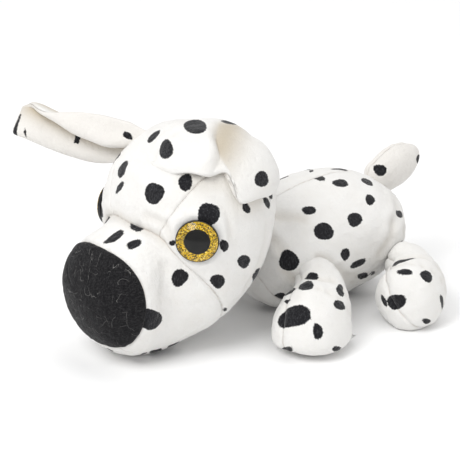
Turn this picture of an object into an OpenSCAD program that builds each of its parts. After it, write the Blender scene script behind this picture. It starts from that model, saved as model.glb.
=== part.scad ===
// Soft spotted puppy lying on its belly, with its chin on the floor and its legs spread.
// +Z is up, the puppy faces -Y and its left side is +X. The origin is the middle of the
// flat of the belly. Every fabric panel is a thin shell over a separate stuffing solid.

/* [Head] */
// Length of the head from nape to nose
head_l = 100; // [94:1:106]
// Height of the head from the floor to the crown
head_h = 104; // [98:1:110]
// Width of the head across the cheeks
head_w = 82; // [76:1:88]
// Diameter of the plastic eyes
eye_d = 20; // [16:1:22]
// Diameter of the pupil disc
pupil_d = 12; // [9:0.5:13]

/* [Body] */
// Length of the body from rump to neck
body_l = 85; // [82:1:88]
// Height of the body
body_h = 59.5; // [56:0.5:62]
// Width of the body
body_w = 65; // [60:1:66]

/* [Ears] */
// Length of the ear that stands out
ear_l = 60; // [52:1:64]
// Width of the ear that stands out
ear_w = 27; // [22:1:32]

/* [Fabric] */
// Thickness of the plush fabric
fabric = 1.1; // [0.9:0.1:1.4]
// Gap between the fabric and its stuffing
slack = 1.2; // [1.1:0.1:1.5]
// Diameter of the thread ring that closes the neck
neck_seam_d = 12; // [10:1:14]

/* [Hidden] */

white = [0.95, 0.94, 0.92];
cream = [0.90, 0.87, 0.82];
black = [0.07, 0.07, 0.08];
fibre = [0.98, 0.98, 0.96];
gold = [0.80, 0.62, 0.14];
clear = [0.85, 0.90, 0.92, 0.5];

// The plane between head and body
neck_y = -45;
// Legs and chin stay this far off the plane that the belly rests on
paw_lift = 0.3;
// The belly curve runs this far under its flat
belly_cut = 1.6;
left = 1;
right = -1;
whole_turn = 360;
tiny = 0.01;

// Head cross-sections: crown point (along, up), jaw point (along, up), half width,
// in percent of head_l, head_h and head_w. The nape is first and the nose last.
head_sections = [
  [1, 77, -1, 73, 0], [6, 90, -1, 55, 27], [17, 98, 3, 39, 40], [33, 100, 11, 26, 48],
  [48, 96, 23, 14, 50], [60, 87, 37, 6, 47], [66, 75, 52, 1.5, 37.5], [69, 65, 64, 0, 30.5],
  [78, 59, 75, 1.5, 33], [86, 56, 84, 6, 31], [93, 51, 91, 12.5, 26],
  [97.5, 44, 96.5, 22, 17.5], [99.5, 34, 99.5, 34, 0]
];
// Body cross-sections: distance from the neck plane, top, bottom, half width,
// in percent of body_l, body_h and body_w. The rump is first.
body_sections = [
  [103, 52, 52, 0], [100, 76, 29, 26], [93, 88, 12, 40], [82, 97, 3, 48], [68, 100, -1, 50],
  [52, 100, -2.5, 48], [36, 98, -2.5, 44], [22, 94, 2, 38], [11, 86, 18, 30],
  [5, 77, 38, 18], [3, 62, 62, 0]
];
// Leg paths, root first: sideways, back from the neck plane, up, and the two half widths
front_leg_path = [
  [31, 18, 26, 0, 0], [32, 18, 26.5, 8, 8], [35, 17.5, 25, 12, 12], [39, 14, 22.5, 14.5, 14],
  [43, 9.5, 19, 16.5, 15.5], [47, 3.5, 15.5, 18.5, 17.5], [50, -0.5, 10.5, 19.5, 18],
  [51, -1.5, 3.5, 16, 15.5], [51, -1.5, 0, 0, 0]
];
hind_leg_path = [
  [37, 71, 24, 0, 0], [38, 71, 24, 8, 8], [40.5, 71, 23, 11.5, 11.5], [45, 68, 20.5, 14.5, 14],
  [49.5, 63.5, 18, 16.5, 16], [54.5, 58, 15.5, 17.5, 17], [58, 53, 12.5, 16, 15.5],
  [61, 48, 11, 9.5, 9.5], [62, 46, 11, 0, 0]
];
// Tail path, root first: back from the neck plane, up, and the two half widths
tail_path = [
  [85, 51.5, 0, 0], [85.6, 52, 6, 4], [88.5, 53.5, 9, 6], [94, 55.5, 10, 6.5], [100, 58.5, 9, 5.5],
  [104.5, 62, 6, 4], [106, 64.5, 0, 0]
];

// A smooth curve through a list of rows, read at u from 0 to the last row
function blend4(a, b, c, d, t) =
  0.5 * (2*b + (c - a)*t + (2*a - 5*b + 4*c - d)*t*t + (3*b - a - 3*c + d)*t*t*t);
function curve(rows, before, after, u) =
  let (
    last = len(rows) - 1,
    v = min(max(u, 0), last - 0.0001),
    i = floor(v),
    a = i == 0 ? before : rows[i - 1],
    d = i + 2 > last ? after : rows[i + 2]
  )
  blend4(a, rows[i], rows[i + 1], d, v - i);
function unit(v) = v / norm(v);

// The head surface: u runs from nape to nose, turn from the crown (0) over the left
// cheek (90) to the jaw (180)
function head_row(r) = [
  neck_y - head_l*r[0]/100, head_h*r[1]/100, neck_y - head_l*r[2]/100, head_h*r[3]/100,
  head_w*r[4]/100
];
head_rows = [for (r = head_sections) head_row(r)];
function mirrored(r) = [r[2], r[3], r[0], r[1], -r[4]];
head_end = len(head_rows) - 1;
// The crown is a little wider than the jaw, and the sections are a little square
crown_swell = 0.1;
squareness = 0.05;
function head_at(u, turn) =
  let (
    r = curve(head_rows, mirrored(head_rows[1]), mirrored(head_rows[head_end - 1]), u),
    full = 1 + squareness*pow(sin(2*turn), 2)
  )
  [
    max(r[4], 0)*sin(turn)*full*(1 + crown_swell*cos(turn)),
    (r[0] + r[2])/2 + (r[0] - r[2])/2*cos(turn)*full,
    max((r[1] + r[3])/2 + (r[1] - r[3])/2*cos(turn)*full, 0)
  ];

// The body surface: u runs from rump to neck, turn from the back (0) over the left side
belly_taper = 0.12;
function body_row(r) =
  [neck_y + body_l*r[0]/100, body_h*r[1]/100, body_h*r[2]/100, body_w*r[3]/100];
body_rows = [for (r = body_sections) body_row(r)];
function flipped(r) = [r[0], r[2], r[1], -r[3]];
body_end = len(body_rows) - 1;
function body_at(u, turn) =
  let (r = curve(body_rows, flipped(body_rows[1]), flipped(body_rows[body_end - 1]), u))
  [
    max(r[3], 0)*sin(turn)*(1 + belly_taper*cos(turn)),
    r[0],
    max((r[1] + r[2])/2 + (r[1] - r[2])/2*cos(turn), -belly_cut)
  ];

// A stuffed limb around its path; turn 0 faces forward
limb_front = [0, -1, 0.4];
function limb_row(r) = [r[0], neck_y + r[1], r[2], r[3], r[4]];
function along(r) = [r[0], r[1], r[2]];
function closing(a, b) = [2*a[0] - b[0], 2*a[1] - b[1], 2*a[2] - b[2], -b[3], -b[4]];
function limb_at(rows, front, u, turn) =
  let (
    last = len(rows) - 1,
    before = closing(rows[0], rows[1]),
    after = closing(rows[last], rows[last - 1]),
    r = curve(rows, before, after, u),
    v = min(max(u, 0.05), last - 0.05),
    way = unit(along(curve(rows, before, after, v + 0.04) - curve(rows, before, after, v - 0.04))),
    x = unit(front - (front*way)*way),
    y = cross(x, way),
    p = along(r) + max(r[3], 0)*cos(turn)*x + max(r[4], 0)*sin(turn)*y
  )
  [p[0], p[1], max(p[2], paw_lift)];
front_rows = [for (r = front_leg_path) limb_row(r)];
hind_rows = [for (r = hind_leg_path) limb_row(r)];
tail_rows = [for (r = tail_path) [0, neck_y + r[0], r[1], r[2], r[3]]];
limb_end = len(front_leg_path) - 1;
tail_end = len(tail_path) - 1;

// The right ear: a cupped lobe; s runs from root to tip, t across it from -1 to 1
ear_root = [-32, neck_y - 45, 97];
ear_way = unit([-50, -22, -6]);
ear_across = unit([0.1, -0.45, 1]);
ear_face = cross(ear_way, ear_across);
ear_cup = 5;
ear_sag = 4;
function ear_half(s) = ear_w/2*(0.62 + 0.5*sin(150*s))*sqrt(max(1 - pow(s, 6), 0));
function ear_at(s, t) =
  ear_root + ear_way*ear_l*s + ear_across*(ear_half(s)*t - ear_sag*sin(180*s))
  + ear_face*ear_cup*(t*t - 0.5)*sin(160*s);

// A point of a form moved along its inward normal
step_u = 0.03;
step_turn = 1;
function inset(form, depth, u, turn) =
  let (
    du = form(u + step_u, turn) - form(u - step_u, turn),
    dv = form(u, turn + step_turn) - form(u, turn - step_turn),
    n = cross(du, dv)
  )
  form(u, turn) - depth*(norm(n) < 0.000001 ? [0, 0, 0] : unit(n));

// Faces between two grids of n by m points, the second one starting at k
function sheet_faces(n, m, first, flip) = [
  for (i = [0:n - 2], j = [0:m - 2])
    let (a = first + i*m + j, b = a + 1, c = a + m, d = c + 1)
    for (f = [[a, b, d], [a, d, c]]) flip ? [f[2], f[1], f[0]] : f
];
function rim(n, m) = concat(
  [for (j = [0:m - 1]) j],
  [for (i = [1:n - 1]) i*m + m - 1],
  [for (j = [m - 2:-1:0]) (n - 1)*m + j],
  [for (i = [n - 2:-1:1]) i*m]
);
function rim_faces(edge, k, flip) = [
  for (i = [0:len(edge) - 1])
    let (a = edge[i], b = edge[(i + 1) % len(edge)])
    for (f = [[b, a, a + k], [b, a + k, b + k]]) flip ? [f[2], f[1], f[0]] : f
];

// A fabric panel: place(i, j, depth) gives its points for i and j from 0 to 1
module panel(place, n, m, top, under, flip = false) {
  k = n*m;
  points = [
    for (depth = [top, under], i = [0:n - 1], j = [0:m - 1]) place(i/(n - 1), j/(m - 1), depth)
  ];
  faces = concat(
    sheet_faces(n, m, 0, flip), sheet_faces(n, m, k, !flip), rim_faces(rim(n, m), k, flip)
  );
  polyhedron(points, faces, convexity = 6);
}

// A closed solid through n rings of m points, with flat ends
module loft(place, n, m, flip = false) {
  points = [for (i = [0:n - 1], j = [0:m - 1]) place(i/(n - 1), j*whole_turn/m)];
  sides = [
    for (i = [0:n - 2], j = [0:m - 1])
      let (a = i*m + j, b = i*m + (j + 1) % m, c = a + m, d = b + m)
      for (f = [[a, b, d], [a, d, c]]) flip ? [f[2], f[1], f[0]] : f
  ];
  ends = [
    for (j = [1:m - 2])
      for (f = [[0, j + 1, j], [(n - 1)*m, (n - 1)*m + j, (n - 1)*m + j + 1]])
        flip ? [f[2], f[1], f[0]] : f
  ];
  polyhedron(points, concat(sides, ends), convexity = 4);
}

// A fabric cap: rings of m points closed by one point at the end of the form
module cap(place, n, m, top, under, flip = false) {
  k = n*m + 1;
  points = [
    for (depth = [top, under])
      for (q = [0:n*m]) place(min(floor(q/m)/n, 1), (q % m)*whole_turn/m, depth)
  ];
  function turned(f, back) = back ? [f[2], f[1], f[0]] : f;
  function skin(first, back) = [
    for (i = [0:n - 1], j = [0:m - 1])
      let (a = first + i*m + j, b = first + i*m + (j + 1) % m)
      for (f = i == n - 1 ? [[a, b, first + n*m]] : [[a, b, b + m], [a, b + m, a + m]])
        turned(f, back)
  ];
  border = [
    for (j = [0:m - 1])
      let (a = j, b = (j + 1) % m)
      for (f = [[b, a, a + k], [b, a + k, b + k]]) turned(f, flip)
  ];
  polyhedron(points, concat(skin(0, flip), skin(k, !flip), border), convexity = 4);
}

// Seams of the head, as turns and as places along it
gusset_turn = 38;
chin_turn = 146;
seam_turn = 1;
seam_u = 0.06;
nape_u = 0.3;
head_form = function(u, turn) head_at(u, turn);
body_form = function(u, turn) body_at(u, turn);
// The muzzle seam crosses the bridge in the crease and runs back under the eyes
function muzzle_seam(turn) = 7.15 - 2.45*pow(sin(90*turn/chin_turn), 2);
// The edge of the nose cover
function nose_edge(turn) = 9 - 0.9*pow(sin(turn), 2) + 0.3*(1 - cos(turn));
function chin_side(turn) = turn > 180 ? turn - whole_turn : turn;
function mix(a, b, t) = a + (b - a)*t;

module head_panel(n, m, start, end, turn0, turn1) {
  panel(
    function(i, j, depth)
      let (turn = mix(turn0, turn1, j))
      inset(head_form, depth, mix(start(turn), end(turn), i), turn),
    n, m, 0, fabric, false
  );
}

module forehead_gusset() {
  color(white)
    head_panel(
      13, 5, function(t) nape_u, function(t) muzzle_seam(t) - seam_u,
      seam_turn - gusset_turn, gusset_turn - seam_turn
    );
}
// One side of the head, from the gusset to the chin, with the hole for the eye's shank
module head_side_panel(side) {
  color(white)
    difference() {
      mirror([side == right ? 1 : 0, 0, 0])
        head_panel(
          12, 9, function(t) nape_u, function(t) muzzle_seam(t) - seam_u,
          gusset_turn, chin_turn - seam_turn
        );
      at_eye(side)
        translate([0, 0, -6])
          cylinder(h = 12, r = shank_r + hole_gap, $fn = 32);
    }
}
module muzzle_panel() {
  color(white)
    head_panel(
      5, 19, function(t) muzzle_seam(t) + seam_u, function(t) nose_edge(t) - seam_u,
      seam_turn - chin_turn, chin_turn - seam_turn
    );
}
module chin_panel() {
  color(white)
    head_panel(
      14, 7, function(t) nape_u, function(t) nose_edge(chin_side(t)) - seam_u,
      chin_turn, whole_turn - chin_turn
    );
}
module nose_cover() {
  color(black)
    cap(
      function(i, turn, depth)
        inset(head_form, depth, mix(nose_edge(turn), head_end - tiny, i), turn),
      4, 20, -0.5, fabric
    );
}
module head_stuffing() {
  color(fibre)
    difference() {
      loft(
        function(i, turn)
          inset(head_form, fabric + slack, mix(0.4, head_end - 0.4, i), turn),
        19, 24
      );
      for (side = [left, right])
        at_eye(side) {
          translate([0, 0, -washer_depth - washer_t - hole_gap])
            cylinder(h = 12, r = washer_r + hole_gap, $fn = 48);
          translate([0, 0, -shank_l - hole_gap])
            cylinder(h = shank_l, r = shank_r + hole_gap, $fn = 32);
        }
    }
}

// The body's two side panels meet along the back, and the belly panel closes them
belly_turn = 140;
rump_u = 0.35;
neck_u = 9.7;
module body_panel(n, m, turn0, turn1, top = 0) {
  panel(
    function(i, j, depth)
      inset(body_form, depth, mix(rump_u, neck_u, i), mix(turn0, turn1, j)),
    n, m, top, fabric, false
  );
}
module body_side_panel(side) {
  color(white)
    mirror([side == right ? 1 : 0, 0, 0])
      body_panel(15, 9, seam_turn/2, belly_turn - seam_turn);
}
module belly_panel() {
  color(white)
    difference() {
      body_panel(15, 8, belly_turn, whole_turn - belly_turn);
      translate([-body_w, -body_l, -10])
        cube([2*body_w, 2*body_l, 10]);
    }
}
module body_stuffing() {
  color(fibre)
    loft(
      function(i, turn)
        let (p = inset(body_form, fabric + slack, mix(0.45, 9.55, i), turn))
        [p[0], p[1], max(p[2], fabric + slack)],
      14, 22
    );
}

// The thread ring between head and body
thread_d = 1;
neck_tilt = 12;
neck_point = [0, neck_y + 0.5, 45];
module neck_seam() {
  color(white)
    translate(neck_point)
      rotate([90 - neck_tilt, 0, 0])
        rotate_extrude($fn = 64)
          translate([neck_seam_d/2, 0])
            circle(d = thread_d, $fn = 16);
}

// The eyes: a clear dome over a glitter ring and a pupil, on a back whose shank goes
// through the fabric into a locking washer
eye_u = 5.32;
eye_turn = 63;
// The right eye sits a little further back and lower than the left one
right_eye_u = 4.9;
right_eye_turn = 78;
shank_r = 2.2;
shank_l = 11;
washer_r = 6;
washer_t = 1.2;
washer_depth = fabric + 1.7;
hole_gap = 0.3;
eye_seat = 0.35;
back_t = 1.3;
disc_t = 0.5;
eye_gap = 0.03;
rim_w = 0.5;
module at_eye(side) {
  u = side == right ? right_eye_u : eye_u;
  turn = side == right ? right_eye_turn : eye_turn;
  p = head_at(u, turn);
  n = unit(p - inset(head_form, 1, u, turn));
  mirror([side == right ? 1 : 0, 0, 0])
    translate(p)
      rotate([0, acos(n[2]), atan2(n[1], n[0])])
        children();
}
module eye_back(side) {
  color(black)
    at_eye(side) {
      translate([0, 0, eye_seat])
        cylinder(h = back_t, d = eye_d, $fn = 64);
      translate([0, 0, -shank_l])
        cylinder(h = shank_l + eye_seat + 0.2, r = shank_r, $fn = 32);
    }
}
module eye_iris(side) {
  color(gold)
    at_eye(side)
      translate([0, 0, eye_seat + back_t + eye_gap])
        difference() {
          cylinder(h = disc_t, d = eye_d - 2*rim_w, $fn = 64);
          translate([0, 0, -1])
            cylinder(h = 3, d = pupil_d + 2*eye_gap, $fn = 64);
        }
}
module eye_pupil(side) {
  color(black)
    at_eye(side)
      translate([0, 0, eye_seat + back_t + eye_gap])
        cylinder(h = disc_t, d = pupil_d, $fn = 64);
}
module eye_dome(side) {
  dome_h = 4;
  half = eye_d/2 - rim_w;
  dome_r = (half*half + dome_h*dome_h)/(2*dome_h);
  color(clear)
    at_eye(side)
      translate([0, 0, eye_seat + back_t + disc_t + 2*eye_gap])
        intersection() {
          translate([0, 0, dome_h - dome_r])
            sphere(r = dome_r, $fn = 64);
          cylinder(h = dome_h + 1, r = eye_d, $fn = 64);
        }
}
module eye_washer(side) {
  color(white)
    at_eye(side)
      translate([0, 0, -washer_depth - washer_t])
        difference() {
          cylinder(h = washer_t, r = washer_r, $fn = 48);
          translate([0, 0, -1])
            cylinder(h = washer_t + 2, r = shank_r + 0.05, $fn = 32);
        }
}

// The left ear lies folded back over the head; the right ear stands out
left_ear_lift = 1.2;
ear_gap = 0.2;
left_ear_from = 4.8;
left_ear_to = 1.3;
left_ear_top = 8;
left_ear_low = 38;
left_ear_drop = 28;
module ear_left_layer(level) {
  panel(
    function(i, j, depth)
      let (
        s = i,
        u = mix(left_ear_from, left_ear_to, s),
        low = left_ear_low + left_ear_drop*pow(sin(110*s), 2),
        turn = mix(left_ear_top + 10*s*s, low, j)
      )
      inset(head_form, depth, u, turn),
    9, 8, -level - fabric, -level, true
  );
}
module ear_left_outer() {
  color(white) ear_left_layer(left_ear_lift + fabric + ear_gap);
}
module ear_left_inner() {
  color(cream) ear_left_layer(left_ear_lift);
}
module ear_right_layer(level) {
  ear_form = function(s, t) ear_at(s, t/60);
  panel(
    function(i, j, depth) inset(ear_form, depth, mix(0.05, 0.96, i), mix(-60, 60, j)),
    10, 7, level, level + fabric, false
  );
}
module ear_right_outer() {
  color(white) ear_right_layer(0);
}
module ear_right_inner() {
  color(cream) ear_right_layer(fabric + ear_gap);
}

// Legs and tail: two panels round one stuffing
limb_start = 0.25;
limb_slack = 0.8;
module limb_panel(rows, front, last, turn0, turn1, side, n, m) {
  limb_form = function(u, turn) limb_at(rows, front, u, turn);
  mirror([side == right ? 1 : 0, 0, 0])
    panel(
      function(i, j, depth)
        let (
          p = inset(limb_form, depth, mix(limb_start, last - limb_start, i), mix(turn0, turn1, j))
        )
        [p[0], p[1], max(p[2], paw_lift + depth)],
      n, m, 0, fabric, false
    );
}
module limb_filling(rows, front, last, side, n, m) {
  limb_form = function(u, turn) limb_at(rows, front, u, turn);
  mirror([side == right ? 1 : 0, 0, 0])
    loft(
      function(i, turn)
        let (
          from = limb_start + 0.15,
          depth = fabric + slack + limb_slack,
          p = inset(limb_form, depth, mix(from, last - from, i), turn)
        )
        [p[0], p[1], max(p[2], paw_lift + depth)],
      n, m
    );
}
module leg_outer(rows, side) {
  color(white) limb_panel(rows, limb_front, limb_end, 1, 179, side, 10, 7);
}
module leg_inner(rows, side) {
  color(white) limb_panel(rows, limb_front, limb_end, 181, 359, side, 10, 7);
}
module leg_stuffing(rows, side) {
  color(fibre) limb_filling(rows, limb_front, limb_end, side, 12, 16);
}
tail_front = [0, 0, 1];
module tail_panel(side) {
  color(white) limb_panel(tail_rows, tail_front, tail_end, 182, 358, side, 8, 6);
}
module tail_stuffing() {
  color(fibre) limb_filling(tail_rows, tail_front, tail_end, left, 7, 10);
}

body_side_panel(left);  // body_left_panel
body_side_panel(right);  // body_right_panel
belly_panel();
body_stuffing();
neck_seam();
forehead_gusset();
head_side_panel(left);  // head_left_panel
head_side_panel(right);  // head_right_panel
muzzle_panel();
chin_panel();
nose_cover();
head_stuffing();
eye_dome(left);  // eye_left_dome
eye_iris(left);  // eye_left_iris
eye_pupil(left);  // eye_left_pupil
eye_back(left);  // eye_left_back
eye_washer(left);  // eye_left_washer
eye_dome(right);  // eye_right_dome
eye_iris(right);  // eye_right_iris
eye_pupil(right);  // eye_right_pupil
eye_back(right);  // eye_right_back
eye_washer(right);  // eye_right_washer
ear_left_outer();
ear_left_inner();
ear_right_outer();
ear_right_inner();
leg_outer(front_rows, left);  // front_left_leg_outer
leg_inner(front_rows, left);  // front_left_leg_inner
leg_stuffing(front_rows, left);  // front_left_leg_stuffing
leg_outer(front_rows, right);  // front_right_leg_outer
leg_inner(front_rows, right);  // front_right_leg_inner
leg_stuffing(front_rows, right);  // front_right_leg_stuffing
leg_outer(hind_rows, left);  // hind_left_leg_outer
leg_inner(hind_rows, left);  // hind_left_leg_inner
leg_stuffing(hind_rows, left);  // hind_left_leg_stuffing
leg_outer(hind_rows, right);  // hind_right_leg_outer
leg_inner(hind_rows, right);  // hind_right_leg_inner
leg_stuffing(hind_rows, right);  // hind_right_leg_stuffing
tail_panel(left);  // tail_left_panel
tail_panel(right);  // tail_right_panel
tail_stuffing();
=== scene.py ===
"""Looks of the plush dog: stuffed fabric panels, ears, plastic eyes, studio.

Lengths in the tables are millimetres in the row frame: the dog faces -Y, its left is +X
and the floor is z = 0. Meshes are made in metres. Every stuffed form is a grid of points
whose rows run along it (u) and whose columns run round it (turn, in degrees).
"""

import math

import bmesh
import bpy
import numpy as np
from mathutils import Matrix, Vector
from mathutils.kdtree import KDTree


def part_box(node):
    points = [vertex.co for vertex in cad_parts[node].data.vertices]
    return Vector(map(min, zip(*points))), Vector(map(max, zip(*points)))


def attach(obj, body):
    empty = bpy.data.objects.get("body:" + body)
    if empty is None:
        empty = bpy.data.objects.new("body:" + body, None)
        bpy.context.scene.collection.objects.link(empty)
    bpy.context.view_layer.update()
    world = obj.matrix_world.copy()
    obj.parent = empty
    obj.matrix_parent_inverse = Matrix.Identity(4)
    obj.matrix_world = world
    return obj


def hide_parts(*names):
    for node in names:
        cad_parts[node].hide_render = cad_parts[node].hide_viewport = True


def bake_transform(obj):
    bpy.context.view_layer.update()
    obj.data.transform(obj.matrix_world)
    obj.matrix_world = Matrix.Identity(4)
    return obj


MM = 0.001
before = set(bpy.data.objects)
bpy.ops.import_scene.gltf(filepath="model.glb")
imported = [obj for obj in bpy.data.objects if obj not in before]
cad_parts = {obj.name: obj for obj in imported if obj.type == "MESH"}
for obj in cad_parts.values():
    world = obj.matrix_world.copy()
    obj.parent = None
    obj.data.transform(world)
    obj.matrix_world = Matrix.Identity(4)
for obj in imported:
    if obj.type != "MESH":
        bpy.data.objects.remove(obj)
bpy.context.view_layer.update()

# ---------------------------------------------------------------- sizes, as in the CAD
HEAD_L, HEAD_H, HEAD_W = 100, 104, 82
BODY_L, BODY_H, BODY_W = 85, 59.5, 65
FABRIC = 1.1
FILLING_DEPTH = 2.6
NECK_Y = -45
GUSSET_TURN, CHIN_TURN, BELLY_TURN = 38, 146, 140
EYES = ((5.32, 63), (4.9, -78))

# Head cross-sections: crown point (along, up), jaw point (along, up), half width, in
# percent of the head's length, height and width; nape first
HEAD_SECTIONS = [
    (1, 77, -1, 73, 0), (6, 90, -1, 55, 27), (17, 98, 3, 39, 40), (33, 100, 11, 26, 48),
    (48, 96, 23, 14, 50), (60, 87, 37, 6, 47), (66, 75, 52, 1.5, 37.5),
    (69, 65, 64, 0, 30.5), (78, 59, 75, 1.5, 33), (86, 56, 84, 6, 31),
    (93, 51, 91, 12.5, 26), (97.5, 44, 96.5, 22, 17.5), (99.5, 34, 99.5, 34, 0),
]
# Body cross-sections: distance from the neck plane, top, bottom, half width; rump first.
# The neck end is fuller than the CAD's, so that the cloth runs on into the head.
BODY_SECTIONS = [
    (103, 52, 52, 0), (100, 76, 29, 26), (93, 88, 12, 40), (82, 97, 3, 48),
    (68, 102, -1, 50), (52, 103, -2.5, 49.5), (36, 101, -2.5, 49), (22, 97, 1, 46),
    (10, 90, 8, 41), (2, 82, 24, 31), (-2, 60, 55, 0),
]
# Leg and tail paths, root first: sideways, back from the neck plane, up, half widths.
# The first rows lie inside the body, where the fabric is sewn in.
FRONT_LEG = [
    (25, 18.5, 25, 0, 0), (26, 18.5, 25, 9, 9), (32, 18, 24, 11, 11), (38, 14.5, 21, 12.5, 12.5),
    (43, 9.5, 17.5, 15, 15), (47, 3.5, 14.5, 17.5, 17), (50, -0.5, 10.5, 19.5, 18),
    (51, -1.5, 3.5, 16.5, 16), (51, -1.5, 0, 0, 0),
]
HIND_LEG = [
    (30, 70, 21, 0, 0), (31, 70, 21, 9, 9), (38.5, 71, 20, 10.5, 10.5), (45, 67.5, 17.5, 13, 13.5),
    (50, 63, 15.5, 15, 16), (55, 57, 13.5, 16.5, 17), (59, 51, 12, 15.5, 15.5),
    (62, 45, 11, 9.5, 9.5), (63, 42.5, 11, 0, 0),
]
TAIL = [
    (0, 79, 49, 0, 0), (0, 80, 49.5, 8, 5), (0, 87, 52, 10, 7), (0, 94, 54.5, 11, 7.5),
    (0, 101, 57.5, 10, 6.5), (0, 105.5, 61.5, 6.5, 4.5), (0, 107, 64, 0, 0),
]


# ---------------------------------------------------------------- curves and forms
def curve(rows, before, after, u):
    """A smooth curve through the rows, read at every u."""
    full = np.vstack([before, rows, after]).astype(float)
    u = np.clip(np.asarray(u, float), 0, len(rows) - 1 - 1e-6)
    i = u.astype(int)
    t = (u - i)[..., None]
    a, b, c, d = full[i], full[i + 1], full[i + 2], full[i + 3]
    return 0.5 * (
        2 * b + (c - a) * t + (2 * a - 5 * b + 4 * c - d) * t**2 + (3 * b - a - 3 * c + d) * t**3
    )


def sin_d(angle):
    return np.sin(np.radians(angle))


def cos_d(angle):
    return np.cos(np.radians(angle))


def unit(v):
    return v / np.maximum(np.linalg.norm(v, axis=-1, keepdims=True), 1e-9)


def head_at(u, turn):
    """The head from nape to nose; turn runs from the crown over the left cheek to the jaw."""
    s = np.array(HEAD_SECTIONS, float)
    rows = np.column_stack([
        NECK_Y - HEAD_L * s[:, 0] / 100, HEAD_H * s[:, 1] / 100,
        NECK_Y - HEAD_L * s[:, 2] / 100, HEAD_H * s[:, 3] / 100, HEAD_W * s[:, 4] / 100,
    ])
    ends = [rows[k][[2, 3, 0, 1, 4]] * [1, 1, 1, 1, -1] for k in (1, -2)]
    r = curve(rows, ends[0], ends[1], u)
    full = 1 + 0.05 * sin_d(2 * turn) ** 2
    wide = np.maximum(r[..., 4], 0)
    return np.stack([
        wide * sin_d(turn) * full * (1 + 0.1 * cos_d(turn)),
        (r[..., 0] + r[..., 2]) / 2 + (r[..., 0] - r[..., 2]) / 2 * cos_d(turn) * full,
        np.maximum((r[..., 1] + r[..., 3]) / 2
                   + (r[..., 1] - r[..., 3]) / 2 * cos_d(turn) * full, 0.1),
    ], -1)


def body_at(u, turn):
    """The body from rump to neck; turn runs from the back over the left side to the belly."""
    s = np.array(BODY_SECTIONS, float)
    rows = np.column_stack([
        NECK_Y + BODY_L * s[:, 0] / 100, BODY_H * s[:, 1] / 100, BODY_H * s[:, 2] / 100,
        BODY_W * s[:, 3] / 100,
    ])
    ends = [rows[k][[0, 2, 1, 3]] * [1, 1, 1, -1] for k in (1, -2)]
    r = curve(rows, ends[0], ends[1], u)
    return np.stack([
        np.maximum(r[..., 3], 0) * sin_d(turn) * (1 + 0.12 * cos_d(turn)),
        r[..., 0],
        np.maximum((r[..., 1] + r[..., 2]) / 2 + (r[..., 1] - r[..., 2]) / 2 * cos_d(turn), 0),
    ], -1)


def limb_form(path, front, side=1):
    """The form of a stuffed limb round its path; turn 0 faces the way of front."""
    rows = np.array(path, float) + [0, NECK_Y, 0, 0, 0]

    def closing(a, b):
        return np.append(2 * a[:3] - b[:3], -b[3:])

    before, after = closing(rows[0], rows[1]), closing(rows[-1], rows[-2])

    def at(u, turn):
        r = curve(rows, before, after, u)
        v = np.clip(u, 0.05, len(rows) - 1.05)
        way = unit(curve(rows, before, after, v + 0.04)[..., :3]
                   - curve(rows, before, after, v - 0.04)[..., :3])
        x = unit(front - np.sum(front * way, -1, keepdims=True) * way)
        y = np.cross(x, way)
        wide = np.maximum(r[..., 3:], 0)
        p = (r[..., :3] + x * (wide[..., 0] * cos_d(turn))[..., None]
             + y * (wide[..., 1] * sin_d(turn))[..., None])
        p[..., 2] = np.maximum(p[..., 2], 0.3)
        return p * [side, 1, 1]

    return at


def muzzle_seam(turn):
    return 7.15 - 2.45 * sin_d(90 * turn / CHIN_TURN) ** 2


def nose_edge(turn):
    return 9 - 0.9 * sin_d(turn) ** 2 + 0.3 * (1 - cos_d(turn))


def steps(*stops):
    """Values from stop to stop: steps(0, (10, 4), (30, 5)) has 4 steps to 10, then 5 to 30."""
    values = [stops[0]]
    for end, count in stops[1:]:
        values += list(np.linspace(values[-1], end, count + 1)[1:])
    return np.array(values, float)


def waves(points, length, seed, count=7):
    """Smooth unevenness from -1 to 1 with waves of about that length in mm."""
    rng = np.random.default_rng(seed)
    total = 0
    for _ in range(count):
        way = unit(rng.normal(size=3)) * rng.uniform(0.7, 1.5) * 2 * math.pi / length
        total = total + np.sin(points @ way + rng.uniform(0, 2 * math.pi))
    return total / count * 1.6


# ---------------------------------------------------------------- stuffed forms
AIR_PRESSURE, LAST_FRAME = 4, 20
# Lengths of the fabric's waves in mm: lumps of filling, small dents, ridges, seam puckers
LUMP_WAVE, DENT_WAVE, RIDGE_WAVE, PUCKER_WAVE = 26, 7, 17, 4.5
# How wide a seam's groove is, and how far its puckers reach, in mm
SEAM_WIDE, PUCKER_REACH = 1.1, 3.5


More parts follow.
